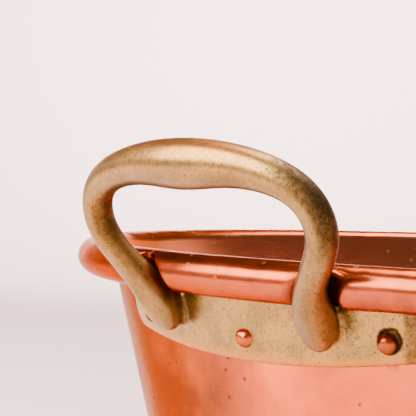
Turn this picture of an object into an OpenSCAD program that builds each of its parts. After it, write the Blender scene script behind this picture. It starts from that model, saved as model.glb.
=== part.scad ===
// Two-handled preserving pan. A flared sheet-copper body has its rim rolled outwards into a hollow bead.
// Two cast brass loop handles are riveted to the wall below the rim, each through a curved plate.
// Millimetres, +Z up. The origin is the middle of the base, on the surface that the pan stands on.

/* [Body] */
// Height from the base to the top of the rolled rim
body_h = 130; // [80:1:200]
// Outer radius of the wall at the level of the middle of the roll
wall_r = 159; // [110:1:220]
// Lean of the wall away from upright, in degrees
flare = 14; // [4:1:20]
// Thickness of the sheet copper
sheet_t = 1.5; // [1:0.1:2.5]
// Outer radius of the bend between the base and the wall
corner_r = 20; // [8:1:35]

/* [Rolled rim] */
// Thickness of the roll from side to side
roll_d = 12.2; // [9:0.2:16]
// Gap between each handle leg and the dent that it beds in
dent_gap = 1; // [0.5:0.1:3]

/* [Handle plate] */
// Length of the plate from end to end, measured straight across
plate_l = 122; // [100:1:150]
// Thickness of the plate
plate_t = 2.5; // [1.5:0.1:4]
// Depth of the plate's top edge below the middle of the roll
plate_top = 5.5; // [4:0.5:9]
// Depth of the middle of the plate's lower edge below the middle of the roll
plate_low = 24.7; // [22:0.1:34]
// How much higher the lower edge is at the ends than in the middle
plate_bow = 4.5; // [1:0.5:8]
// Clearance between the plate and the wall
plate_gap = 0.05; // [0.02:0.01:0.3]

/* [Handle loop] */
// Height of the middle of the grip above the middle of the roll
grip_z = 32; // [24:1:50]
// Distance of the middle of the grip outside the middle of the roll
grip_out = 18; // [14:1:30]
// Radius of the grip at its middle
grip_rad = 8; // [6:0.5:11]
// Radius of the legs
leg_rad = 4.6; // [3.5:0.1:6]
// Distance round the rim from the middle of the handle to the widest part of each leg
leg_reach = 44; // [36:1:50]
// Distance round the rim from the middle of the handle to each foot
foot_reach = 31.5; // [24:0.5:40]
// Depth of the end of each foot below the middle of the roll
foot_low = 14.5; // [12:0.5:20]

/* [Rivets] */
// Diameter of the rivet shank
rivet_d = 3.5; // [3:0.5:5]
// Diameter of the domed head on the plate
dome_d = 5.9; // [5.5:0.1:9]
// Height of the domed head
dome_h = 2.3; // [1.5:0.1:3.5]
// Diameter of the flat head inside the pan
flat_d = 10; // [8:0.5:14]
// Thickness of the flat head
flat_h = 1.4; // [0.8:0.1:2]
// Distance round the wall from the middle rivet to each outer one
rivet_step = 48.5; // [40:0.5:54]
// Depth of the middle rivet below the middle of the roll
rivet_low = 17.2; // [14:0.1:19]
// How much higher the outer rivets are than the middle one
rivet_rise = 2.7; // [0:0.1:4]
// Clearance around the shank in its holes
shank_gap = 0.05; // [0.02:0.01:0.2]

/* [Hidden] */

copper = "#d5805c";
brass = "#d8bd92";

round_fn = 96;
arc_step = 6;                 // degrees between the points of a turned arc
rod_sides = 20;
rod_steps = 4;                // rings between two of the handle's control points
over = 1;                     // how far a cut runs past the face that it cuts
skin = 0.3;                   // copper left outside the wall where the roll is dented furthest
reach = 400;                  // longer than anything that it has to cross

hole_r = rivet_d / 2 + shank_gap;
bead_r = roll_d / 2;
rim_r = wall_r + bead_r;              // radius of the circle that the middle of the roll lies on
rim_z = body_h - bead_r;              // height of that circle
roll_r = bead_r * cos(flare) + sheet_t;   // how far from it the inside of the wall starts to turn over

// Radius at a height, measured on a face that stands off the outside of the wall by a distance
function wall_at(z, off = 0) = wall_r + (z - rim_z) * tan(flare) + off / cos(flare);

// Points of an arc about a centre, from one angle to another
function arc(cx, cz, r, a0, a1, n) =
    [for (i = [0 : n]) let (a = a0 + (a1 - a0) * i / n) [cx + r * cos(a), cz + r * sin(a)]];
function arc_n(a0, a1) = ceil(abs(a1 - a0) / arc_step);

// The roll's radius eases from the wall's inner face to its own round as it goes over the top
function roll_at(a) = bead_r + (roll_r - bead_r) * (1 - cos(180 * (a - 90) / (90 - flare))) / 2;

corner_x = wall_at(corner_r, -corner_r);      // centre of the base bend
turn = 180 - flare;                           // angle at which the roll leaves the wall

pan_profile = concat(
    [[0, 0]],
    arc(corner_x, corner_r, corner_r, -90, -flare, arc_n(-90, -flare)),
    arc(rim_r, rim_z, bead_r, 180, 450 - arc_step, arc_n(180, 450 - arc_step)),
    [for (i = [0 : arc_n(90, turn)]) let (a = 90 + (turn - 90) * i / arc_n(90, turn))
        [rim_r + roll_at(a) * cos(a), rim_z + roll_at(a) * sin(a)]],
    arc(corner_x, corner_r, corner_r - sheet_t, -flare, -90, arc_n(-90, -flare)),
    [[0, sheet_t]]);

// The handle's control points, from the middle of the grip to the end of a foot:
// distance round the rim, then distance outside and height above the middle of the roll, radius of the rod
half_path = [
    [0, grip_out, grip_z - 0.5, grip_rad],
    [0.37 * leg_reach, grip_out, grip_z + 0.5, 0.75 * grip_rad],
    [leg_reach - 6, grip_out + 1.5, grip_z - 4.5, leg_rad],
    [leg_reach, grip_out - 2, 12.5, leg_rad],
    [foot_reach + 2, 8, 0, leg_rad - 0.6],
    [foot_reach, 0, -9, leg_rad + 1.2],
    [foot_reach, -4, -foot_low, leg_rad]];
last = len(half_path) - 1;
leg_path = concat(
    [for (i = [last : -1 : 1]) [-half_path[i][0], half_path[i][1], half_path[i][2], half_path[i][3]]],
    half_path);

// The point on a smooth cubic through the control points, which are repeated at both ends
function pick(i) = leg_path[min(max(i - 2, 0), len(leg_path) - 1)];
function blend(i, t) = (pick(i) * pow(1 - t, 3) + pick(i + 1) * (3 * pow(t, 3) - 6 * t * t + 4)
    + pick(i + 2) * (-3 * pow(t, 3) + 3 * t * t + 3 * t + 1) + pick(i + 3) * pow(t, 3)) / 6;
function placed(p) = let (a = p[0] / rim_r * 180 / PI)
    [(rim_r + p[1]) * cos(a), (rim_r + p[1]) * sin(a), rim_z + p[2]];
function rod_at(s) = let (i = min(floor(s), spans - 1)) blend(i, s - i);
spans = len(leg_path) + 1;
function unit(v) = v / norm(v);
function rod_point(s) = placed(rod_at(s));
function rod_dir(s) = unit(rod_point(min(s + 0.05, spans)) - rod_point(max(s - 0.05, 0)));

// One ring of the rod, about a point and square to a direction
function ring(c, d, r) = let (n = unit([1, 0, 0] - d * d[0]), b = cross(d, n))
    [for (k = [0 : rod_sides - 1]) let (a = 360 * k / rod_sides) c + r * (cos(a) * n + sin(a) * b)];

// Each foot closes with a rounded toe
toe = [[0.95, 0.25], [0.8, 0.5], [0.5, 0.65]];
rod_rings = concat(
    [for (i = [2 : -1 : 0]) ring(rod_point(0) - rod_dir(0) * toe[i][1] * rod_at(0)[3], rod_dir(0),
        rod_at(0)[3] * toe[i][0])],
    [for (i = [0 : spans * rod_steps]) let (s = i / rod_steps) ring(rod_point(s), rod_dir(s), rod_at(s)[3])],
    [for (i = [0 : 2]) ring(rod_point(spans) + rod_dir(spans) * toe[i][1] * rod_at(spans)[3], rod_dir(spans),
        rod_at(spans)[3] * toe[i][0])]);

module tube_of(rings) {
    m = len(rings);
    n = len(rings[0]);
    polyhedron(
        points = [for (r = rings) each r],
        faces = concat(
            [[for (k = [0 : n - 1]) k]],
            [for (i = [0 : m - 2], k = [0 : n - 1])
                [i * n + k, (i + 1) * n + k, (i + 1) * n + (k + 1) % n, i * n + (k + 1) % n]],
            [[for (k = [n - 1 : -1 : 0]) (m - 1) * n + k]]));
}

// Where the axis of a rivet crosses the outside of the wall, with +Z turned to point out of the wall
module at_rivet(step) {
    z = rim_z - rivet_low + abs(step) * rivet_rise;
    rotate([0, 0, step * rivet_step / wall_r * 180 / PI])
        translate([wall_at(z), 0, z])
            rotate([0, 90 + flare, 0])
                children();
}

module rivet_holes() {
    for (step = [-1 : 1])
        at_rivet(step)
            translate([0, 0, -sheet_t - over])
                cylinder(r = hole_r, h = sheet_t + plate_gap + plate_t + 2 * over, $fn = round_fn);
}

// The room that a leg needs in the side of the roll, grown by a margin. It is straight, and as wide as the bent
// leg needs on its way past, and it stops short of the wall and just clear of the top and bottom of the roll.
dent_s = spans - 2.7;
leg_bend = 0.9;
module leg_room(grow) {
    p = rod_point(dent_s);
    d = rod_point(dent_s + 0.7) - rod_point(dent_s - 0.7);
    intersection() {
        for (side = [0, 1])
            mirror([0, side, 0])
                translate(p)
                    rotate([0, acos(d[2] / norm(d)), atan2(d[1], d[0])])
                        cylinder(r = leg_rad + leg_bend + grow, h = 8 * bead_r, center = true, $fn = round_fn);
        rotate_extrude($fn = round_fn)
            translate([wall_r + skin, rim_z - bead_r - over])
                square([4 * bead_r, 2 * (bead_r + over)]);
    }
}

module both_handles() {
    for (a = [0, 180])
        rotate([0, 0, a])
            children();
}

// Sheet body: base, bend, leaning wall, and the rim rolled into a hollow bead and dented in beside each leg
module pan_body() {
    color(copper)
        difference() {
            rotate_extrude($fn = round_fn)
                polygon(pan_profile);
            difference() {
                rotate_extrude($fn = round_fn)
                    translate([rim_r, rim_z])
                        circle(r = bead_r - sheet_t, $fn = round_fn);
                both_handles()
                    leg_room(dent_gap + sheet_t);
            }
            both_handles() {
                leg_room(dent_gap);
                rivet_holes();
            }
        }
}

// The plate's outline, seen from straight in front: round ends and a bowed lower edge
end_r = (plate_low - plate_bow - plate_top) / 2;
end_x = plate_l / 2 - end_r;
bow_r = (end_x * end_x + plate_bow * plate_bow) / (2 * plate_bow);
bow_a = asin(end_x / bow_r);
plate_outline = concat(
    arc(end_x, -plate_top - end_r, end_r, 90, -90, 12),
    arc(0, bow_r - plate_low, bow_r, -90 + 0.9 * bow_a, -90 - 0.9 * bow_a, 18),
    arc(-end_x, -plate_top - end_r, end_r, 270, 90, 12));

// The curved plate lies on the wall
module plate() {
    z_low = rim_z - plate_low - over;
    z_top = rim_z - plate_top + over;
    intersection() {
        rotate_extrude($fn = round_fn)
            polygon([
                [wall_at(z_low, plate_gap), z_low],
                [wall_at(z_low, plate_gap + plate_t), z_low],
                [wall_at(z_top, plate_gap + plate_t), z_top],
                [wall_at(z_top, plate_gap), z_top]]);
        translate([0, 0, rim_z])
            rotate([90, 0, 90])
                linear_extrude(height = reach)
                    polygon(plate_outline);
    }
}

// One brass casting: the loop, its two feet and the plate
module handle() {
    color(brass)
        difference() {
            union() {
                plate();
                tube_of(rod_rings);
            }
            rivet_holes();
        }
}

// Copper rivet: domed head on the plate, shank, and flat head on the inside of the wall
module rivet(step) {
    dome_r = (dome_h * dome_h + dome_d * dome_d / 4) / (2 * dome_h);
    seat = plate_gap + plate_t;
    inner_r = wall_at(rim_z - rivet_low, -sheet_t);
    hollow = inner_r - sqrt(inner_r * inner_r - flat_d * flat_d / 4);   // how far the round wall falls away
    color(copper)
        at_rivet(step) {
            intersection() {
                translate([0, 0, seat + dome_h - dome_r])
                    sphere(r = dome_r, $fn = round_fn);
                translate([0, 0, seat])
                    cylinder(d = dome_d + over, h = dome_h + over, $fn = round_fn);
            }
            translate([0, 0, -sheet_t - hollow - flat_h])
                cylinder(d = flat_d, h = flat_h, $fn = round_fn);
            translate([0, 0, -sheet_t - hollow - flat_h / 2])
                cylinder(d = rivet_d, h = sheet_t + hollow + seat + flat_h / 2 + dome_h / 2, $fn = round_fn);
        }
}

module left() {
    rotate([0, 0, 180])
        children();
}

pan_body();
left() handle();  // handle_left
handle();  // handle_right
left() rivet(1);  // rivet_left_front
left() rivet(0);  // rivet_left_middle
left() rivet(-1);  // rivet_left_back
rivet(-1);  // rivet_right_front
rivet(0);  // rivet_right_middle
rivet(1);  // rivet_right_back
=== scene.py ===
import math
import bmesh
import bpy
import numpy as np
from mathutils import Matrix, Quaternion, Vector, noise


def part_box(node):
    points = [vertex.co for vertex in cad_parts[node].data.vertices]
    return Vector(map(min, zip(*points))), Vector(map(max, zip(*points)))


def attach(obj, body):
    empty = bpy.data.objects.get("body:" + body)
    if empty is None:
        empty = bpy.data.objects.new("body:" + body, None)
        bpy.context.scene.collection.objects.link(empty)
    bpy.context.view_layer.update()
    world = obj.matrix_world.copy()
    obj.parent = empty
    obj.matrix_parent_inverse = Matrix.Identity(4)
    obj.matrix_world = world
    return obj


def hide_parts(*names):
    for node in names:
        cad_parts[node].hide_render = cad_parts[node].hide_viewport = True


# A two-handled copper preserving pan. Its rim is rolled into a hollow bead that is dented in beside each handle
# leg, and its two cast brass handles are riveted to the wall. Everything is in metres, in the frame's own axes.

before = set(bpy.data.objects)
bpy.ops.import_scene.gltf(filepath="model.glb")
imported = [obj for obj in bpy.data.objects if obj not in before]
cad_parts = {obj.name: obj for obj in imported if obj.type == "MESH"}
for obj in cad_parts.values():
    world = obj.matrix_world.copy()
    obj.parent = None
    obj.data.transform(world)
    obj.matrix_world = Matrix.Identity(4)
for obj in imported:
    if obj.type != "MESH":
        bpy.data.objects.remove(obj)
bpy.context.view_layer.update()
mm = 0.001


def linearColour(hexText, alpha=1.0):
    # sRGB hex to the linear numbers that a shader takes
    parts = [int(hexText[i:i + 2], 16) / 255 for i in (1, 3, 5)]
    return [c / 12.92 if c <= 0.04045 else ((c + 0.055) / 1.055) ** 2.4 for c in parts] + [alpha]


def setInputs(tree, node, inputs):
    # an input takes a value, or a pair (node, output) to link it
    for name, value in inputs.items():
        if isinstance(value, tuple) and isinstance(value[0], bpy.types.Node):
            tree.links.new(value[0].outputs[value[1]], node.inputs[name])
        else:
            node.inputs[name].default_value = value


def addNode(tree, kind, inputs=None, **settings):
    # one shader node with its settings and inputs
    node = tree.nodes.new(kind)
    for name, value in settings.items():
        setattr(node, name, value)
    setInputs(tree, node, inputs or {})
    return node


def mixColours(tree, factor, first, second):
    # mixes two colours, each a hex text or a (node, output) pair; mix sockets 6 and 7 are the colours, output 2 theirs
    pick = [linearColour(c) if isinstance(c, str) else c for c in (first, second)]
    return (addNode(tree, "ShaderNodeMix", {0: factor, 6: pick[0], 7: pick[1]}, data_type="RGBA"), 2)


def maths(tree, operation, first, second=0.0, third=0.0, clamp=False):
    # one sum on single values
    return (addNode(tree, "ShaderNodeMath", {0: first, 1: second, 2: third}, operation=operation,
                    use_clamp=clamp), 0)


def span(tree, value, low, high, toLow=0.0, toHigh=1.0):
    # stretches the part of a value between low and high over a new range
    return (addNode(tree, "ShaderNodeMapRange", {"Value": value, "From Min": low, "From Max": high,
                                                "To Min": toLow, "To Max": toHigh}), 0)


def noiseOf(tree, where, size, detail=3.0, rough=0.55, bend=0.0):
    # cloudy noise whose lumps are about this size in mm
    return (addNode(tree, "ShaderNodeTexNoise", {"Vector": where, "Scale": 1000 / size, "Detail": detail,
                                                "Roughness": rough, "Distortion": bend}), 0)


def cellsOf(tree, where, size):
    # cells of this size in mm, each with the distance to its middle and a random colour
    return addNode(tree, "ShaderNodeTexVoronoi", {"Vector": where, "Scale": 1000 / size})


def jittered(tree, where, size, reach):
    # coordinates pushed about by noise, so that shapes drawn on them turn ragged; both lengths in mm
    cloud = addNode(tree, "ShaderNodeTexNoise", {"Vector": where, "Scale": 1000 / size, "Detail": 2.0})
    middle = addNode(tree, "ShaderNodeVectorMath", {0: (cloud, "Color"), 1: (0.5, 0.5, 0.5)}, operation="SUBTRACT")
    scaled = addNode(tree, "ShaderNodeVectorMath", {0: (middle, 0), "Scale": reach * mm * 2}, operation="SCALE")
    return (addNode(tree, "ShaderNodeVectorMath", {0: where, 1: (scaled, 0)}, operation="ADD"), 0)


def newMaterial(name):
    # a material with its node tree, its main shader, and the object coordinates that its patterns are drawn on
    material = bpy.data.materials.new(name)
    material.use_nodes = True
    tree = material.node_tree
    where = (addNode(tree, "ShaderNodeTexCoord"), "Object")
    return material, tree, tree.nodes["Principled BSDF"], where


def clearSelection():
    if bpy.context.object and bpy.context.object.mode != "OBJECT":
        bpy.ops.object.mode_set(mode="OBJECT")
    bpy.ops.object.select_all(action="DESELECT")


def makeActive(piece):
    clearSelection()
    piece.select_set(True)
    bpy.context.view_layer.objects.active = piece


def nameIt(piece, name):
    piece.name = name
    piece.data.name = name
    return piece


def settle(piece):
    # close the seams, then point every face outwards
    makeActive(piece)
    bpy.ops.object.transform_apply(location=True, rotation=True, scale=True)
    bpy.ops.object.mode_set(mode="EDIT")
    bpy.ops.mesh.select_all(action="SELECT")
    bpy.ops.mesh.remove_doubles(threshold=0.01 * mm)
    bpy.ops.mesh.normals_make_consistent(inside=False)
    bpy.ops.object.mode_set(mode="OBJECT")


def finishPiece(piece, node, material):
    # gives a piece its material, the body that it rides on, and the CAD piece that it stands for
    piece.data.materials.clear()
    piece.data.materials.append(material)
    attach(piece, "root")
    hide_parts(node)


def arcPoints(middle, radius, start, stop, count):
    # points of an arc in the XZ plane, angles in degrees from +X towards +Z
    turns = [math.radians(start + (stop - start) * i / count) for i in range(count + 1)]
    return [Vector((middle[0] + radius * math.cos(a), 0, middle[1] + radius * math.sin(a))) for a in turns]


def readPoints(mesh):
    # all points of a mesh as rows of x, y, z
    points = np.empty(len(mesh.vertices) * 3)
    mesh.vertices.foreach_get("co", points)
    return points.reshape(-1, 3)


def writePoints(mesh, points):
    mesh.vertices.foreach_set("co", points.ravel())
    mesh.update()


def ramp(values, low, high):
    # a smooth rise from 0 at low to 1 at high
    t = np.clip((values - low) / (high - low), 0, 1)
    return t * t * (3 - 2 * t)


def drawOutline(points, closed=False):
    # draws an outline by extruding one vertex from point to point, as by hand
    clearSelection()
    bpy.ops.mesh.primitive_plane_add(size=mm, location=points[0])
    bpy.ops.object.transform_apply(location=True)
    bpy.ops.object.mode_set(mode="EDIT")
    bpy.ops.mesh.select_all(action="SELECT")
    bpy.ops.mesh.merge(type="CENTER")
    for here, there in zip(points, points[1:]):
        bpy.ops.mesh.extrude_vertices_move(TRANSFORM_OT_translate={"value": there - here})
    if closed:
        mesh = bmesh.from_edit_mesh(bpy.context.object.data)
        mesh.edges.new([v for v in mesh.verts if len(v.link_edges) == 1])
        bmesh.update_edit_mesh(bpy.context.object.data)
    bpy.ops.mesh.select_all(action="SELECT")
    return bpy.context.object


# the copper body; the handles and the rivets take their places from it
pan = {
    "sheet": 1.5 * mm,
    "bead": 6.1 * mm,        # radius of the rolled rim
    "flare": 14.0,           # lean of the wall, in degrees
    "corner": 20 * mm,       # outer radius of the bend at the base
    "arcStep": 9.0,          # degrees between points on the small bends
    "beadPoints": 26,
    "fineStep": 0.25,        # degrees between the rows near the handles
    "plainStep": 0.5,
    "fineHalf": 22.0,        # degrees each side of a handle's middle that get the fine rows
    "rowsUp": 14,            # rows between the base bend and the roll, on each face
    "rowsFlat": (0, 30 * mm, 60 * mm, 85 * mm, 100 * mm),
    "hollowSides": 20,
    "dentLong": 60 * mm,     # how far from a handle's middle the roll may be dented
    "dentGap": 1.9 * mm,     # room round a leg
    "dentShift": 1.3 * mm,   # and how far it is off centre, anticlockwise as seen from above
    "dentRound": 3.0 * mm,   # width over which the edge of a dent is rounded
    "dentSlope": 2.5,        # how steeply a dent's side goes on past the leg
    "stiff": 1.5 * mm,       # depth next to the wall in which the roll doesn't give way fully
    "gapShadeWide": 6 * mm,      # how far from a leg the painted shade in the dents reaches
    "knock": 0.24 * mm,      # depth of the small knocks in the roll
    "wave": 0.10 * mm,       # unevenness of the hand-beaten wall
}
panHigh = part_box("pan_body")[1]
rimRad = panHigh.x - pan["bead"]
rimZ = panHigh.z - pan["bead"]
wallRad = rimRad - pan["bead"]
flare = math.radians(pan["flare"])


def wallAt(z, off=0.0):
    # radius at a height, on a face that stands off the outside of the wall
    return wallRad + (z - rimZ) * math.tan(flare) + off / math.cos(flare)


# the handle's control points, from the middle of the grip to the end of a foot:
# distance round the rim, then outside and above the middle of the roll, then the rod's radius, all in mm
handle = {
    "half": [(0, 18, 31.5, 8.0), (16.3, 18, 32.5, 6.0), (38, 19.5, 27.5, 4.6), (44, 16, 12.5, 4.6),
             (33.5, 8, 0, 4.0), (31.5, 0, -9, 5.8), (31.5, -4, -14.5, 4.6)],
    "rings": 8,              # rings between two control points
    "sides": 32,
    "plateLong": 122 * mm,
    "plateThick": 2.5 * mm,
    "plateTop": 5.5 * mm,
    "plateLow": 24.7 * mm,
    "plateBow": 4.5 * mm,
    "plateGap": 0.05 * mm,
    "voxel": 0.5 * mm,
    "toe": ((0.3, 0.93), (0.5, 0.78), (0.62, 0.5)),   # each foot's rounded end: how far past it, and how wide
    "footSquare": 0.9,       # how far the feet go from round to square
    "samples": 400,          # steps along the rod where distances are measured
    "bandHalf": 26,          # degrees each side of the middle that the plate is cut from
    "soften": ((5.5 * mm, 12), (3.6 * mm, 20), (2.2 * mm, 10)),   # fillets: reach of each round, and its repeats
    "pitReach": 3.7 * mm,    # size of the pit round one outer rivet
    "pitDeep": 0.7 * mm,
    "pitShift": 0.9 * mm,    # how far its middle is off the rivet's, outwards and upwards
}
halfPath = [Vector(p) for p in handle["half"]]
wholePath = [Vector((-p[0], p[1], p[2], p[3])) for p in reversed(halfPath[1:])] + halfPath
spans = len(wholePath) + 1


def rodAt(s):
    # smooth cubic that follows the control points: (round, out, up, radius) in mm
    i = min(int(s), spans - 1)
    t = s - i
    p = [wholePath[min(max(i + k - 2, 0), len(wholePath) - 1)] for k in range(4)]
    return (p[0] * (1 - t) ** 3 + p[1] * (3 * t ** 3 - 6 * t * t + 4)
            + p[2] * (-3 * t ** 3 + 3 * t * t + 3 * t + 1) + p[3] * t ** 3) / 6


def rodPoint(s):
    # that point in the frame, on the handle that points along +X
    around, out, up, _ = rodAt(s)
    turn = around * mm / rimRad
    return Vector(((rimRad + out * mm) * math.cos(turn), (rimRad + out * mm) * math.sin(turn), rimZ + up * mm))


def panProfile():
    # half the body's section: the outer face, the roll, then the inner face
    bead, sheet, corner = pan["bead"], pan["sheet"], pan["corner"]
    cornerX = wallAt(corner, -corner)
    rollRad = bead * math.cos(flare) + sheet
    steps = round((90 - pan["flare"]) / pan["arcStep"])
    flat = [Vector((r, 0, 0)) for r in pan["rowsFlat"]]
    outside = flat + arcPoints((cornerX, corner), corner, -90, -pan["flare"], steps)
    low = outside[-1].z
    heights = [low + (rimZ - low) * i / pan["rowsUp"] for i in range(1, pan["rowsUp"])]
    outside += [Vector((wallAt(z), 0, z)) for z in heights]
    roll = arcPoints((rimRad, rimZ), bead, 180, 450, pan["beadPoints"])
    for i in range(1, steps + 1):
        radius = bead + (rollRad - bead) * (1 - math.cos(math.pi * i / steps)) / 2
        roll += arcPoints((rimRad, rimZ), radius, 90 + (90 - pan["flare"]) * i / steps, 0, 1)[:1]
    inside = [Vector((wallAt(z, -sheet), 0, z)) for z in reversed(heights)]
    inside += arcPoints((cornerX, corner), corner - sheet, -pan["flare"], -90, steps)
    return outside + roll + inside + [Vector((p.x, 0, sheet)) for p in reversed(flat)]


def dentRoll(piece):
    # presses the roll in beside the legs of both handles, to a rounded bed a little wider than each leg
    mesh = piece.data
    points = readPoints(mesh)
    fromAxis = np.hypot(points[:, 0], points[:, 1])
    offMiddle = np.hypot(fromAxis - rimRad, points[:, 2] - rimZ)
    outside = (fromAxis - (wallRad + (points[:, 2] - rimZ) * math.tan(flare))) * math.cos(flare)
    freedom = np.clip(outside / pan["stiff"], 0, 1)
    # the face of the hollow stays a sheet's thickness behind the outer one
    layer = np.where(offMiddle < pan["bead"] - pan["sheet"] / 2, pan["sheet"], 0)
    middles, radii = pathSamples()
    frames = np.array([[tuple(v) for v in rodFrame(s)] for s in pathSteps()])
    gapShade = np.zeros(len(points))
    for flip in (1, -1):
        turn = np.array((flip, flip, 1))
        near = (np.abs(points[:, 1]) < pan["dentLong"]) & (points[:, 0] * flip > 0) & (offMiddle < 8 * mm)
        index = np.nonzero(near)[0]
        _, gap, which = nearestOnPath(points[index], middles * turn)
        offset = points[index] - middles[which] * turn
        outward, sideways = frames[which, 1] * turn, frames[which, 2] * turn
        depth = np.sum(offset * outward, axis=1)
        aside = np.sum(offset * sideways, axis=1) - pan["dentShift"] * np.sign(frames[which, 2, 1])
        bed = radii[which] + pan["dentGap"] + layer[index]
        ratio = np.clip(np.abs(aside) / bed, 0, 1)
        limit = np.where(ratio < 1, -bed * np.sqrt(1 - ratio ** 2), (np.abs(aside) - bed) * pan["dentSlope"])
        blend = np.clip(pan["dentRound"] - np.abs(depth - limit), 0, None) / pan["dentRound"]
        pressed = np.minimum(depth, limit) - blend ** 2 * pan["dentRound"] / 4
        points[index] += outward * ((pressed - depth) * freedom[index])[:, None]
        # painted shade: dark beside each leg, fading away from it, below the top of the roll
        fromLeg = np.clip((gap - radii[which]) / pan["gapShadeWide"], 0, 1)
        gapShade[index] = np.maximum(gapShade[index], (1 - fromLeg) ** 1.5 * (points[index, 2] < rimZ + 3 * mm))
    writePoints(mesh, points)
    # how worn and shaded each point is: red is painted shade in the dents beside the legs, green marks the inside,
    # blue the roll
    inner = np.clip(-outside / (0.8 * mm), 0, 1)
    colours = mesh.color_attributes.new("wearAndShade", "FLOAT_COLOR", "POINT")
    roll = ramp(-offMiddle, -pan["bead"] - mm, -pan["bead"])
    colours.data.foreach_set("color", np.stack([gapShade, inner, roll, 0 * gapShade + 1], axis=1).ravel())


def beatSurface(piece):
    # small knocks in the roll, and the slow unevenness of a wall that was beaten by hand
    mesh = piece.data
    points = readPoints(mesh)
    for i, p in enumerate(points):
        around = math.hypot(p[0], p[1])
        out, up = around - rimRad, p[2] - rimZ
        ray = Vector((p[0] / max(around, mm), p[1] / max(around, mm), 0))
        if math.hypot(out, up) < pan["bead"] + mm and out > -pan["bead"] * 0.9:
            way = (ray * out + Vector((0, 0, up))).normalized()
            knock = noise.noise(Vector(p) * 70) + 0.5 * noise.noise(Vector(p) * 170)
            points[i] += np.array(way) * min(knock, 0.0) * pan["knock"]
        elif around > 90 * mm and p[2] > 25 * mm and up < -pan["bead"]:
            level = rimZ - 3 * pan["bead"] - p[2]
            fade = min(max(level / (20 * mm), 0), 1)
            points[i] += np.array(ray) * noise.noise(Vector(p) * 28) * pan["wave"] * fade
    writePoints(mesh, points)


def buildPan():
    # one sheet, with its rim rolled into a hollow bead and pressed in beside the legs
    piece = drawOutline(panProfile())
    # the hollow in the roll
    bpy.ops.mesh.primitive_circle_add(vertices=pan["hollowSides"], radius=pan["bead"] - pan["sheet"],
                                      location=(rimRad, 0, rimZ), rotation=(math.pi / 2, 0, 0))
    bpy.ops.mesh.select_all(action="SELECT")
    # a quarter turn, with finer rows near the handle, then mirrored twice
    for angle, step in ((pan["fineHalf"], "fineStep"), (90 - pan["fineHalf"], "plainStep")):
        bpy.ops.mesh.spin(steps=round(angle / pan[step]), angle=math.radians(angle), center=(0, 0, 0),
                          axis=(0, 0, 1))
    for mirror in ((1, -1, 1), (-1, 1, 1)):
        bpy.ops.mesh.select_all(action="SELECT")
        bpy.ops.mesh.duplicate()
        bpy.ops.transform.resize(value=mirror, center_override=(0, 0, 0))
    settle(piece)
    # the faces of the hollow look into it
    bpy.ops.object.mode_set(mode="EDIT")
    mesh = bmesh.from_edit_mesh(piece.data)
    for face in mesh.faces:
        middle = face.calc_center_median()
        face.select = math.hypot(math.hypot(middle.x, middle.y) - rimRad, middle.z - rimZ) < pan["bead"] - 0.7 * mm
    mesh.select_flush_mode()
    bpy.ops.mesh.flip_normals()
    bpy.ops.object.mode_set(mode="OBJECT")
    dentRoll(piece)
    beatSurface(piece)
    for flip in (0, 180):
        drillRivetHoles(piece, flip)
    bpy.ops.object.shade_smooth_by_angle(angle=math.radians(50))
    return nameIt(piece, "copper_body")


def pathSteps():
    # places along the rod, counted in control points
    return [spans * i / handle["samples"] for i in range(handle["samples"] + 1)]


def pathSamples():
    # the middle line of the rod that points along +X, with its radius
    return (np.array([rodPoint(s) for s in pathSteps()]), np.array([rodAt(s)[3] * mm for s in pathSteps()]))


def nearestOnPath(points, middles):
    # for each point: the direction away from the rod's middle line, the distance to it, and which sample is nearest
    best = np.full(len(points), 1e9)
    which = np.zeros(len(points), int)
    for i, middle in enumerate(middles):
        gap = np.linalg.norm(points - middle, axis=1)
        closer = gap < best
        best[closer] = gap[closer]
        which[closer] = i
    way = (points - middles[which]) / np.maximum(best, 1e-6)[:, None]
    return way, best, which


def rodFrame(s):
    # the rod's direction at a point, and two directions square to it: towards the outside, and round the rim
    ahead = (rodPoint(min(s + 0.05, spans)) - rodPoint(max(s - 0.05, 0))).normalized()
    outward = (Vector((1, 0, 0)) - ahead * ahead.x).normalized()
    return ahead, outward, ahead.cross(outward)


def placeRing(s, along, grow, square):
    # moves the selected end ring to its place, with a section between round and square
    ahead, outward, sideways = rodFrame(s)
    centre, radius = rodPoint(s) + ahead * along, rodAt(s)[3] * mm * grow
    mesh = bmesh.from_edit_mesh(bpy.context.object.data)
    ring = next(f for f in mesh.faces if f.select)
    for k, point in enumerate(ring.verts):
        turn = 2 * math.pi * k / handle["sides"]
        c, n = math.cos(turn), math.sin(turn)
        reach = radius / (abs(c) ** square + abs(n) ** square) ** (1 / square)
        point.co = centre + (outward * c + sideways * n) * reach
    bmesh.update_edit_mesh(bpy.context.object.data)


def footShape(s):
    # the section squares off towards each foot
    away = min(s, spans - s)
    return 2 + handle["footSquare"] * min(max((3.2 - away) / 1.5, 0), 1)


def buildLoop():
    # the loop, extruded ring by ring from one rounded toe to the other
    clearSelection()
    bpy.ops.mesh.primitive_circle_add(vertices=handle["sides"], radius=5 * mm, fill_type="NGON")
    bpy.ops.object.mode_set(mode="EDIT")
    bpy.ops.mesh.select_all(action="SELECT")
    rings = [(0, -along, grow) for along, grow in reversed(handle["toe"])]
    rings += [(i / handle["rings"], 0, 1) for i in range(spans * handle["rings"] + 1)]
    rings += [(spans, along, grow) for along, grow in handle["toe"]]
    for i, (s, along, grow) in enumerate(rings):
        if i:
            bpy.ops.mesh.extrude_region_move()
        placeRing(s, along * rodAt(s)[3] * mm, grow, footShape(s))
    bpy.ops.object.mode_set(mode="OBJECT")
    return bpy.context.object


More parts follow.
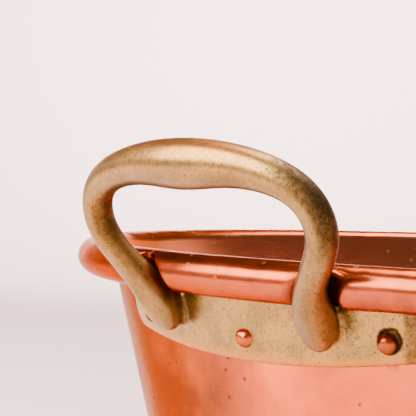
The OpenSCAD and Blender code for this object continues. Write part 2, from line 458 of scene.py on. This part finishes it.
def buildPlate():
    # a leaning band of the plate's thickness, cut to the plate's outline
    low, top = rimZ - handle["plateLow"] - mm, rimZ - handle["plateTop"] + mm
    near, far = handle["plateGap"], handle["plateGap"] + handle["plateThick"]
    corners = [Vector((wallAt(z, off), 0, z)) for z, off in ((low, near), (low, far), (top, far), (top, near))]
    band = drawOutline(corners, closed=True)
    half = handle["bandHalf"]
    bpy.ops.transform.rotate(value=math.radians(-half), orient_axis="Z", center_override=(0, 0, 0))
    bpy.ops.mesh.spin(steps=4 * half, angle=math.radians(2 * half), center=(0, 0, 0), axis=(0, 0, 1))
    bpy.ops.mesh.select_all(action="SELECT")
    bpy.ops.mesh.fill_holes(sides=4)
    settle(band)
    endRad = (handle["plateLow"] - handle["plateBow"] - handle["plateTop"]) / 2
    endX = handle["plateLong"] / 2 - endRad
    bowRad = (endX ** 2 + handle["plateBow"] ** 2) / (2 * handle["plateBow"])
    bowTurn = math.degrees(math.asin(endX / bowRad))
    sideZ = rimZ - handle["plateTop"] - endRad
    outline = arcPoints((endX, sideZ), endRad, 90, -90, 16)
    outline += arcPoints((0, rimZ + bowRad - handle["plateLow"]), bowRad, -90 + 0.9 * bowTurn,
                         -90 - 0.9 * bowTurn, 24)
    outline += arcPoints((-endX, sideZ), endRad, 270, 90, 16)
    cutFrom, cutDeep = 120 * mm, 80 * mm
    cutter = drawOutline([Vector((cutFrom, p.x, p.z)) for p in outline], closed=True)
    bpy.ops.mesh.edge_face_add()
    bpy.ops.mesh.extrude_region_move(TRANSFORM_OT_translate={"value": (cutDeep, 0, 0)})
    settle(cutter)
    cutWith(band, cutter, "INTERSECT")
    return band


def cutWith(piece, cutter, operation):
    # cuts one closed piece with another, which is used up
    makeActive(piece)
    cut = piece.modifiers.new("cut", "BOOLEAN")
    cut.operation, cut.object, cut.solver = operation, cutter, "MANIFOLD"
    bpy.ops.object.modifier_apply(modifier=cut.name)
    bpy.data.objects.remove(cutter, do_unlink=True)
    makeActive(piece)


# three rivets hold each handle; the outer two sit a little higher than the middle one
rivet = {
    "shank": 3.5 * mm,
    "gap": 0.05 * mm,        # clearance round the shank
    "dome": 5.9 * mm,
    "domeHigh": 2.3 * mm,
    "domePoints": 12,
    "flat": 10 * mm,         # the head inside the pan
    "flatHigh": 1.4 * mm,
    "flatEdge": 0.5 * mm,    # rounding of its edge
    "sides": 48,
    "step": 48.5 * mm,       # distance round the wall from the middle rivet to each outer one
    "low": 17.2 * mm,        # depth of the middle rivet below the middle of the roll
    "rise": 2.7 * mm,
    "uneven": 0.05,          # how far the heads are from perfectly round
    "drillSides": 32,
    "drillDeep": 14 * mm,
}


def rivetPlace(step):
    # where a rivet's axis leaves the wall under the handle along +X, and the direction out of the wall
    z = rimZ - rivet["low"] + abs(step) * rivet["rise"]
    turn = step * rivet["step"] / wallRad
    out = Vector((math.cos(turn) * math.cos(flare), math.sin(turn) * math.cos(flare), -math.sin(flare)))
    return Vector((wallAt(z) * math.cos(turn), wallAt(z) * math.sin(turn), z)), out


def drillRivetHoles(piece, flip):
    # three holes, for the handle that is turned by flip degrees
    turn = Matrix.Rotation(math.radians(flip), 3, "Z")
    for step in (-1, 0, 1):
        place, out = (turn @ v for v in rivetPlace(step))
        clearSelection()
        bpy.ops.mesh.primitive_cylinder_add(vertices=rivet["drillSides"], depth=rivet["drillDeep"],
                                            radius=rivet["shank"] / 2 + rivet["gap"], location=place)
        drill = bpy.context.object
        drill.rotation_mode = "QUATERNION"
        drill.rotation_quaternion = out.to_track_quat("Z", "Y")
        bpy.ops.object.transform_apply(location=True, rotation=True, scale=True)
        cutWith(piece, drill, "DIFFERENCE")


def softenJoints(piece):
    # the cast fillet where each foot runs into the plate
    points = readPoints(piece.data)
    middles, radii = pathSamples()
    _, gap, which = nearestOnPath(points, middles)
    fromRod = gap - radii[which]
    around = np.hypot(points[:, 0], points[:, 1])
    plateFace = wallAt(0, handle["plateGap"] + handle["plateThick"]) + points[:, 2] * math.tan(flare)
    fromPlate = (around - plateFace) * math.cos(flare)
    low = points[:, 2] < rimZ - 3 * mm
    for width, repeat in handle["soften"]:
        chosen = (np.abs(fromRod) < width) & (np.abs(fromPlate) < width) & (fromPlate > -0.8 * mm) & low
        pickPoints(piece, chosen)
        bpy.ops.mesh.vertices_smooth(factor=0.5, repeat=repeat)
        bpy.ops.object.mode_set(mode="OBJECT")


def pickPoints(piece, chosen):
    # selects points and goes into edit mode
    makeActive(piece)
    bpy.ops.object.mode_set(mode="EDIT")
    bpy.ops.mesh.select_all(action="DESELECT")
    bpy.ops.object.mode_set(mode="OBJECT")
    piece.data.vertices.foreach_set("select", chosen)
    bpy.ops.object.mode_set(mode="EDIT")
    bpy.ops.mesh.select_mode(type="VERT")


def pitMiddle(step):
    # the pit's middle beside the rivet on the +Y end of the plate (step 1) or on its -Y end (step -1)
    return np.array(rivetPlace(step)[0] + Vector((0, step, 1)) * handle["pitShift"])


def pitRivet(piece, step):
    # a ragged pit in the casting round one outer rivet; only the plate's outer face sinks
    points = readPoints(piece.data)
    out = rivetPlace(step)[1]
    centre = pitMiddle(step)
    for i, p in enumerate(points):
        away = Vector(p - centre)
        flat = away - out * away.dot(out)
        reach = handle["pitReach"] * (1 + 0.3 * noise.noise(flat.normalized() * 1.1 + Vector((3, 1, 7))))
        if flat.length < reach + mm and away.dot(out) > 1.3 * mm:
            sink = min(max((reach - flat.length) / mm, 0), 1)
            points[i] -= np.array(out) * sink * handle["pitDeep"]
    writePoints(piece.data, points)


def buildHandle():
    # one casting: the plate and the loop melted together, with fillets, the pit and the rivet holes
    piece = buildPlate()
    loop = buildLoop()
    settle(loop)
    clearSelection()
    loop.select_set(True)
    piece.select_set(True)
    bpy.context.view_layer.objects.active = piece
    bpy.ops.object.join()
    remesh = piece.modifiers.new("remesh", "REMESH")
    remesh.mode, remesh.voxel_size = "VOXEL", handle["voxel"]
    bpy.ops.object.modifier_apply(modifier=remesh.name)
    pickPoints(piece, np.full(len(piece.data.vertices), True))
    bpy.ops.mesh.vertices_smooth(factor=0.5, repeat=5)
    bpy.ops.object.mode_set(mode="OBJECT")
    softenJoints(piece)
    pitRivet(piece, 1)
    drillRivetHoles(piece, 0)
    bpy.ops.object.shade_smooth_by_angle(angle=math.radians(50))
    return piece


def spot(around, up, middle, size):
    # a soft round mark, all in mm
    return np.exp(-((around - middle[0]) / size[0]) ** 2 - ((up - middle[1]) / size[1]) ** 2)


def paintWearAndShade(piece, side):
    # how worn and shaded each point is: red is dark grime, with painted shade in the pit, a fillet and one leg's outer
    # side; green the ochre bloom; blue the plate and what hands have rubbed, which on the grip's front is a painted
    # highlight too.
    # side is 1 where the grimy shoulder is on the +Y leg of the handle along +X, else -1.
    # around is the distance round the rim from the handle's middle, up the height above the roll's, both in mm
    points = readPoints(piece.data)
    middles = pathSamples()[0]
    way = nearestOnPath(points, middles)[0]
    around = side * np.arctan2(points[:, 1], points[:, 0]) * rimRad / mm
    up = (points[:, 2] - rimZ) / mm
    front, across, high = way[:, 0], way[:, 1] * side, way[:, 2]
    face = wallAt(0, handle["plateGap"] + handle["plateThick"]) + points[:, 2] * math.tan(flare)
    fromPlate = (np.hypot(points[:, 0], points[:, 1]) - face) * math.cos(flare) / mm
    rod = np.maximum(ramp(fromPlate, 0.2, 1.6), ramp(up, -5, -3))
    shoulder = ramp(around, 24, 36) * ramp(across + 0.5 * high, -0.2, 0.55) * ramp(up, 0, 14)
    innerLeg = ramp(-around, 26, 34) * ramp(across, 0.05, 0.6) * (1 - ramp(up, 18, 30)) * ramp(up, -14, -6)
    # painted shade: the outer side of one leg, below the roll, is darkened; it gets ochre bloom as well
    shadedHeel = ramp(around, 28, 33) * ramp(across, 0.3, 0.8) * (1 - ramp(up, -2, 4))
    plate = 1 - rod
    stain = plate * (spot(around, up, (38.5, -10.5), (4.2, 5.5)) + ramp(around, 54, 57)
                     + 0.6 * spot(around, up, (-27, -9), (5, 6)))
    # painted shade: a dark patch in the pit round one outer rivet
    fromPit = np.linalg.norm(points - pitMiddle(side), axis=1) / mm
    pit = (1 - ramp(fromPit, 4.0, 5.0)) * plate
    # painted shade: the crease where one leg meets the plate is darkened
    fillet = ramp(fromPlate, 0.1, 0.5) * (1 - ramp(fromPlate, 2.5, 4.5)) * (1 - ramp(up, -5, -3))
    fillet = fillet * ramp(-around, 19, 24) * (1 - ramp(-around, 30, 33))
    # the red mask: real grime on the shoulder, the inner legs and the stains, with painted shade in the heel, the
    # fillet and the pit
    grimeAndShade = np.clip(rod * (0.95 * shoulder + 0.8 * innerLeg + 0.5 * shadedHeel)
                    + 0.75 * stain + 0.65 * fillet + 1.3 * pit, 0, 1)
    top = ramp(high, 0.25, 0.85) * (1 - ramp(np.abs(around + 12), 26, 44))
    edge = ramp(around, 36, 44) * ramp(across, 0.7, 0.95) * (1 - ramp(up, 8, 22))
    bow = 0.0013 * around ** 2      # the plate's lower edge rises towards its ends
    brim = plate * (1 - ramp(up, bow - 24.0, bow - 21.0))
    ochre = np.clip(rod * (top + 0.9 * edge + 0.6 * shadedHeel + 0.4 * innerLeg) + 1.2 * brim, 0, 1)
    # painted highlight as well as rubbing: the grip's front is lightened where its highlight falls
    polishAndSheen = ramp(front + 0.4 * high, 0.6, 1.05) * (1 - ramp(np.abs(around), 22, 40)) * (1 - 0.6 * top)
    wearAndShade = np.stack([grimeAndShade, ochre, np.clip(plate + 0.9 * rod * polishAndSheen, 0, 1), np.ones(len(points))], axis=1)
    colours = piece.data.color_attributes.new("wearAndShade", "FLOAT_COLOR", "POINT")
    colours.data.foreach_set("color", wearAndShade.ravel())


def buildRivet(name, handleTurn, step):
    # a peened dome on the plate, the shank, and the flat head on the inside of the wall
    place, out = rivetPlace(step)
    turn = Matrix.Rotation(math.radians(handleTurn), 3, "Z")
    place, out = turn @ place, turn @ out
    seat = handle["plateGap"] + handle["plateThick"]
    inner = wallAt(rimZ - rivet["low"], -pan["sheet"])
    hollow = inner - math.sqrt(inner ** 2 - (rivet["flat"] / 2) ** 2)
    back = -pan["sheet"] - hollow
    domeRad = (rivet["domeHigh"] ** 2 + (rivet["dome"] / 2) ** 2) / (2 * rivet["domeHigh"])
    domeTurn = math.degrees(math.asin(rivet["dome"] / 2 / domeRad))
    edge = rivet["flatEdge"]
    outline = [Vector((0, 0, back - rivet["flatHigh"]))]
    outline += arcPoints((rivet["flat"] / 2 - edge, back - rivet["flatHigh"] + edge), edge, -90, 0, 5)
    outline += [Vector((rivet["flat"] / 2, 0, back)), Vector((rivet["shank"] / 2, 0, back)),
                Vector((rivet["shank"] / 2, 0, seat))]
    outline += arcPoints((0, seat + rivet["domeHigh"] - domeRad), domeRad, 90 - domeTurn, 90, rivet["domePoints"])
    piece = drawOutline(outline)
    bpy.ops.mesh.spin(steps=rivet["sides"], angle=math.tau, center=(0, 0, 0), axis=(0, 0, 1))
    settle(piece)
    # no two hammered heads are alike
    points = readPoints(piece.data)
    seed = Vector((place.x, place.y, place.z)) * 900
    for i, p in enumerate(points):
        if p[2] > seat + 0.2 * mm or p[2] < back - 0.3 * mm:
            points[i] *= 1 + rivet["uneven"] * noise.noise(Vector(p) * 420 + seed)
    writePoints(piece.data, points)
    piece.rotation_mode = "QUATERNION"
    piece.rotation_quaternion = out.to_track_quat("Z", "Y")
    piece.location = place
    bpy.ops.object.transform_apply(location=True, rotation=True, scale=True)
    bpy.ops.object.shade_smooth_by_angle(angle=math.radians(50))
    return nameIt(piece, name)


shot = {
    "bearing": 213.28,       # where the camera stands, in degrees round the pan from +X
    "distance": 556 * mm,    # from the pan's axis
    "height": 27.7 * mm,     # above the middle of the roll
    "heading": 46.31,        # where it looks, in degrees from +X
    "pitch": -1.09,
    "roll": 1.83,
    "lens": 129.8,
    "sensor": 36,
}


def addCamera():
    # a long lens, close to the level of the rim
    bearing, heading, pitch = (math.radians(shot[k]) for k in ("bearing", "heading", "pitch"))
    place = Vector((shot["distance"] * math.cos(bearing), shot["distance"] * math.sin(bearing),
                    rimZ + shot["height"]))
    look = Vector((math.cos(heading) * math.cos(pitch), math.sin(heading) * math.cos(pitch), math.sin(pitch)))
    bpy.ops.object.camera_add(location=place)
    camera = bpy.context.object
    camera.data.lens, camera.data.sensor_width = shot["lens"], shot["sensor"]
    camera.data.clip_start, camera.data.clip_end = 0.01, 50
    camera.rotation_mode = "QUATERNION"
    camera.rotation_quaternion = look.to_track_quat("-Z", "Y") @ Quaternion((0, 0, 1), math.radians(shot["roll"]))
    bpy.context.scene.camera = camera


brass = {
    "clean": ("#9C8048", "#7F6637"),     # two shades in slow clouds
    # the plate, and the grip's rubbed front, where it is a painted highlight too
    "rubbedAndSheen": "#B48D47",
    "olive": "#7C6E3E",                  # patches on the plate
    "sand": "#6A4E24",                   # the fine grain of the casting
    "bloom": "#C67C2A",
    # dark grime, and the colour of the painted shade
    "grimeAndShade": "#2C1F0A",
    "pits": "#1C1206",
    "rough": (0.28, 0.4),
}


def brassFinish():
    # cast brass worn satin-smooth by hands: pale, with ochre bloom on top, pitted dark grime, painted shade in the
    # corners and recesses, and a painted highlight on the grip's front
    material, tree, surface, where = newMaterial("worn_cast_brass_painted_shade")
    wearAndShade = addNode(tree, "ShaderNodeVertexColor", layer_name="wearAndShade")
    split = addNode(tree, "ShaderNodeSeparateColor", {"Color": (wearAndShade, "Color")})
    grimeAndShade, ochre, plate = ((split, name) for name in ("Red", "Green", "Blue"))
    clouds = noiseOf(tree, where, 14, 4)
    grain = noiseOf(tree, where, 1.6, 5, 0.7)
    colour = mixColours(tree, span(tree, clouds, 0.35, 0.65), *brass["clean"])
    # lighter on the plate and on the grip's rubbed front; on the grip this is a painted highlight too
    colour = mixColours(tree, maths(tree, "MULTIPLY", plate, 0.75), colour, brass["rubbedAndSheen"])
    patches = noiseOf(tree, where, 11, 3, 0.6, 0.5)
    olive = maths(tree, "MULTIPLY", plate, span(tree, patches, 0.46, 0.62))
    colour = mixColours(tree, maths(tree, "MULTIPLY", olive, 0.6), colour, brass["olive"])
    sand = noiseOf(tree, where, 0.9, 3, 0.7)
    colour = mixColours(tree, span(tree, sand, 0.48, 0.62, 0.0, 0.45), colour, brass["sand"])
    # ochre bloom, broken up by the grain
    bloom = maths(tree, "MULTIPLY", ochre, span(tree, grain, 0.3, 0.6, 0.35, 1.0), clamp=True)
    colour = mixColours(tree, maths(tree, "MULTIPLY", bloom, 0.9), colour, brass["bloom"])
    # grime and painted shade sit in the grain's hollows first
    dirtAndShade = maths(tree, "MULTIPLY_ADD", grain, 1.3, -0.95)
    dirtAndShade = maths(tree, "ADD", dirtAndShade, maths(tree, "MULTIPLY", grimeAndShade, 1.25))
    dirtAndShade = maths(tree, "MULTIPLY", dirtAndShade, span(tree, grimeAndShade, 0.0, 0.12), clamp=True)
    colour = mixColours(tree, maths(tree, "MULTIPLY", dirtAndShade, 0.85), colour, brass["grimeAndShade"])
    # casting pits: small dark specks, thick where the grime and painted shade lie and thin elsewhere
    cells = cellsOf(tree, jittered(tree, where, 0.9, 0.5), 0.75)
    lot = addNode(tree, "ShaderNodeSeparateColor", {"Color": (cells, "Color")})
    few = maths(tree, "GREATER_THAN", (lot, "Red"), span(tree, grimeAndShade, 0.0, 0.8, 0.84, 0.2))
    speck = maths(tree, "MULTIPLY", span(tree, (cells, "Distance"), 0.34, 0.18), few)
    colour = mixColours(tree, maths(tree, "MULTIPLY", speck, 0.75), colour, brass["pits"])
    # dirt and painted shade are dull, and the rubbed places shine a little more
    rough = maths(tree, "ADD", span(tree, grain, 0.3, 0.7, *brass["rough"]), maths(tree, "MULTIPLY", dirtAndShade, 0.2))
    rough = maths(tree, "SUBTRACT", rough, maths(tree, "MULTIPLY", plate, 0.04))
    height = maths(tree, "SUBTRACT", maths(tree, "MULTIPLY", grain, 0.35), maths(tree, "MULTIPLY", speck, 0.8))
    bump = addNode(tree, "ShaderNodeBump", {"Strength": 0.8, "Distance": 0.0001, "Height": height})
    setInputs(tree, surface, {"Base Color": colour, "Roughness": rough, "Metallic": 1.0, "Normal": (bump, 0)})
    return material


copper = {
    # the colour of the painted dark reflection, laid on in broad lobes
    "darkReflection": "#6C4030",
    "darkReflectionTurn": -225,       # turns the lobes of painted dark reflection round the pan, in degrees of the three-fold wave
    "darkReflectionDepth": 0.9,
    "stains": "#A5603F",
    "specks": "#5C2A18",
    "inside": "#BE7350",
    "roll": "#AC502C",
    "rollStains": "#7E4630",
    # painted shade in the dents beside the legs
    "gapShade": "#1E0F08",
    "shine": "#DDA88C",      # colour of the reflections at grazing angles
}


def copperFinish(name, bright, deep, roughLow, roughHigh):
    # used sheet copper: a warm pink shine, cloudy with handling, with fine wiping marks and small dark specks, and
    # painted shade in three broad lobes and in the dents beside the legs
    material, tree, surface, where = newMaterial(name)
    # the angle round the pan, its seam 45 degrees from the handles, and wiping marks drawn out along it
    parts = addNode(tree, "ShaderNodeSeparateXYZ", {"Vector": where})
    turned = (maths(tree, "ADD", (parts, "X"), (parts, "Y")), maths(tree, "SUBTRACT", (parts, "Y"), (parts, "X")))
    angle = maths(tree, "ARCTAN2", turned[1], maths(tree, "MULTIPLY", turned[0], -1.0))
    along = maths(tree, "MULTIPLY", angle, 0.012)
    wiped = addNode(tree, "ShaderNodeCombineXYZ", {"X": along, "Y": (parts, "Z")})
    streaks = noiseOf(tree, (wiped, 0), 1.3, 4, 0.6)
    clouds = noiseOf(tree, where, 34, 4, 0.6, 0.4)
    stains = noiseOf(tree, where, 9, 5, 0.65)
    colour = mixColours(tree, span(tree, clouds, 0.32, 0.68), bright, deep)
    # painted shade: three broad lobes darken the wall, standing in for a dark reflection
    lobes = maths(tree, "COSINE", maths(tree, "MULTIPLY_ADD", angle, 3.0, math.radians(copper["darkReflectionTurn"])))
    darkReflectionMask = maths(tree, "ADD", lobes, maths(tree, "MULTIPLY", span(tree, clouds, 0.3, 0.7, -1, 1), 0.5))
    colour = mixColours(tree, span(tree, darkReflectionMask, -0.4, 0.9, 0.0, copper["darkReflectionDepth"]), colour, copper["darkReflection"])
    colour = mixColours(tree, span(tree, stains, 0.62, 0.78, 0.0, 0.35), colour, copper["stains"])
    # a few small specks, their edges made ragged
    cells = cellsOf(tree, where, 7)
    lot = addNode(tree, "ShaderNodeSeparateColor", {"Color": (cells, "Color")})
    few = maths(tree, "GREATER_THAN", (lot, "Green"), 0.55)
    bent = maths(tree, "ADD", (cells, "Distance"), maths(tree, "MULTIPLY", noiseOf(tree, where, 0.8), 0.08))
    speck = maths(tree, "MULTIPLY", span(tree, bent, 0.17, 0.10), few)
    colour = mixColours(tree, maths(tree, "MULTIPLY", speck, 0.6), colour, copper["specks"])
    rough = maths(tree, "ADD", span(tree, clouds, 0.3, 0.7, roughLow, roughHigh),
                  maths(tree, "MULTIPLY", span(tree, streaks, 0.45, 0.75), 0.06))
    rough = maths(tree, "ADD", rough, maths(tree, "MULTIPLY", speck, 0.3))
    # the inside and the roll are duller; painted shade darkens the dents beside the legs, and makes them rougher
    wearAndShade = addNode(tree, "ShaderNodeVertexColor", layer_name="wearAndShade")
    split = addNode(tree, "ShaderNodeSeparateColor", {"Color": (wearAndShade, "Color")})
    colour = mixColours(tree, maths(tree, "MULTIPLY", (split, "Green"), 0.8), colour, copper["inside"])
    colour = mixColours(tree, maths(tree, "MULTIPLY", (split, "Blue"), 0.85), colour, copper["roll"])
    smudge = maths(tree, "MULTIPLY", span(tree, stains, 0.5, 0.66), (split, "Blue"))
    colour = mixColours(tree, maths(tree, "MULTIPLY", smudge, 0.6), colour, copper["rollStains"])
    gapShade = maths(tree, "MULTIPLY", (split, "Red"), span(tree, stains, 0.3, 0.6, 0.7, 1.0))
    colour = mixColours(tree, gapShade, colour, copper["gapShade"])
    rough = maths(tree, "ADD", rough, maths(tree, "MULTIPLY", gapShade, 0.35))
    height = maths(tree, "ADD", maths(tree, "MULTIPLY", streaks, 0.25), maths(tree, "MULTIPLY", stains, 0.5))
    bump = addNode(tree, "ShaderNodeBump", {"Strength": 0.35, "Distance": 0.00005, "Height": height})
    setInputs(tree, surface, {"Base Color": colour, "Roughness": rough, "Metallic": 1.0, "Normal": (bump, 0),
                              "Specular Tint": linearColour(copper["shine"])})
    return material


def stageFinish():
    # plain matt paper, pale and without a shine
    material, tree, surface, _ = newMaterial("studio_paper")
    setInputs(tree, surface, {"Base Color": linearColour(studio["paper"]), "Roughness": 0.9,
                              "Specular IOR Level": 0.1})
    return material


studio = {
    "paper": "#F4E6E5",
    "floorRad": 1.7,         # metres; the paper is flat up to here
    "bendRad": 0.8,          # and then bends up all round
    "drop": 0.3 * mm,        # how far the paper lies below the pan
    "room": "#8A7672",
    "roomLight": 1.0,
    "glow": "#FFE9E8",       # colour of the lamps
    "lamps": (
        # bearing and elevation of the lamp seen from the pan, in degrees; distance, width and height in metres;
        # power in watts; bearing, distance and height of the point it is turned to; spread of its beam in degrees
        ("window", 160, 34, 1.1, 1.3, 0.8, 49, 0, 0, 0.1, 180),
        ("side", 20, 60, 2.2, 1.2, 1.2, 36, 0, 0, 0.1, 180),
        ("top", 46, 76, 1.9, 1.1, 1.1, 42, 0, 0, 0.1, 180),
        ("card", 352, 12, 1.8, 0.7, 0.7, 1.6, 0, 0, 0.1, 180),
        ("backdrop", 46, 45, 1.8, 1.2, 0.6, 46, 46, 2.5, 0.3, 110),
    ),
}


def polar(bearing, distance, height):
    # a place given by its bearing from the pan
    turn = math.radians(bearing)
    return Vector((distance * math.cos(turn), distance * math.sin(turn), height))


def addStage():
    # a round sheet of paper that bends up at its edge, a dim room, and the lamps
    bend, rad = studio["bendRad"], studio["floorRad"]
    outline = [Vector((0, 0, 0)), Vector((rad, 0, 0))] + arcPoints((rad, bend), bend, -90, 0, 16)[1:]
    paper = drawOutline([p - Vector((0, 0, studio["drop"])) for p in outline])
    bpy.ops.mesh.spin(steps=96, angle=math.tau, center=(0, 0, 0), axis=(0, 0, 1))
    settle(paper)
    bpy.ops.object.shade_smooth()
    paper.data.materials.append(stageFinish())
    nameIt(paper, "studio_paper")
    world = bpy.data.worlds.new("studio_room")
    bpy.context.scene.world = world
    world.use_nodes = True
    sky = world.node_tree.nodes["Background"]
    sky.inputs["Color"].default_value = linearColour(studio["room"])
    sky.inputs["Strength"].default_value = studio["roomLight"]
    for name, bearing, elevation, distance, wide, high, power, *target, spread in studio["lamps"]:
        rise = math.radians(elevation)
        place = polar(bearing, distance * math.cos(rise), distance * math.sin(rise) + 0.1)
        bpy.ops.object.light_add(type="AREA", location=place)
        lamp = bpy.context.object
        lamp.name = name
        lamp.data.shape, lamp.data.size, lamp.data.size_y = "RECTANGLE", wide, high
        lamp.data.energy, lamp.data.spread = power, math.radians(spread)
        lamp.data.color = linearColour(studio["glow"])[:3]
        lamp.rotation_mode = "QUATERNION"
        lamp.rotation_quaternion = (place - polar(*target)).to_track_quat("Z", "Y")


addCamera()
addStage()
print("studio ready")
sheetCopper = copperFinish("worn_sheet_copper_painted_shade", "#EC7239", "#D9602C", 0.16, 0.26)
rivetCopper = copperFinish("peened_rivet_copper", "#B9602F", "#934A24", 0.22, 0.32)
castBrass = brassFinish()
finishPiece(buildPan(), "pan_body", sheetCopper)
print("copper body ready")
# side, turn round the pan, and which leg has the grimy shoulder
for side, turn, grimy in (("right", 0, -1), ("left", 180, 1)):
    if side == "right":
        piece = buildHandle()
    else:
        # the second casting starts as a copy of the first, and wears in its own way
        piece = piece.copy()
        piece.data = piece.data.copy()
        piece.data.color_attributes.remove(piece.data.color_attributes["wearAndShade"])
        bpy.context.collection.objects.link(piece)
    paintWearAndShade(piece, grimy)
    makeActive(piece)
    piece.rotation_euler = (0, 0, math.radians(turn))
    bpy.ops.object.transform_apply(location=True, rotation=True, scale=True)
    nameIt(piece, "brass_handle_" + side)
    finishPiece(piece, "handle_" + side, castBrass)
    print(side, "handle ready")
    for name, step in (("front", -1), ("middle", 0), ("back", 1)):
        head = buildRivet("copper_rivet_" + side + "_" + name, turn, step if side == "right" else -step)
        finishPiece(head, "rivet_" + side + "_" + name, rivetCopper)
    print(side, "rivets ready")
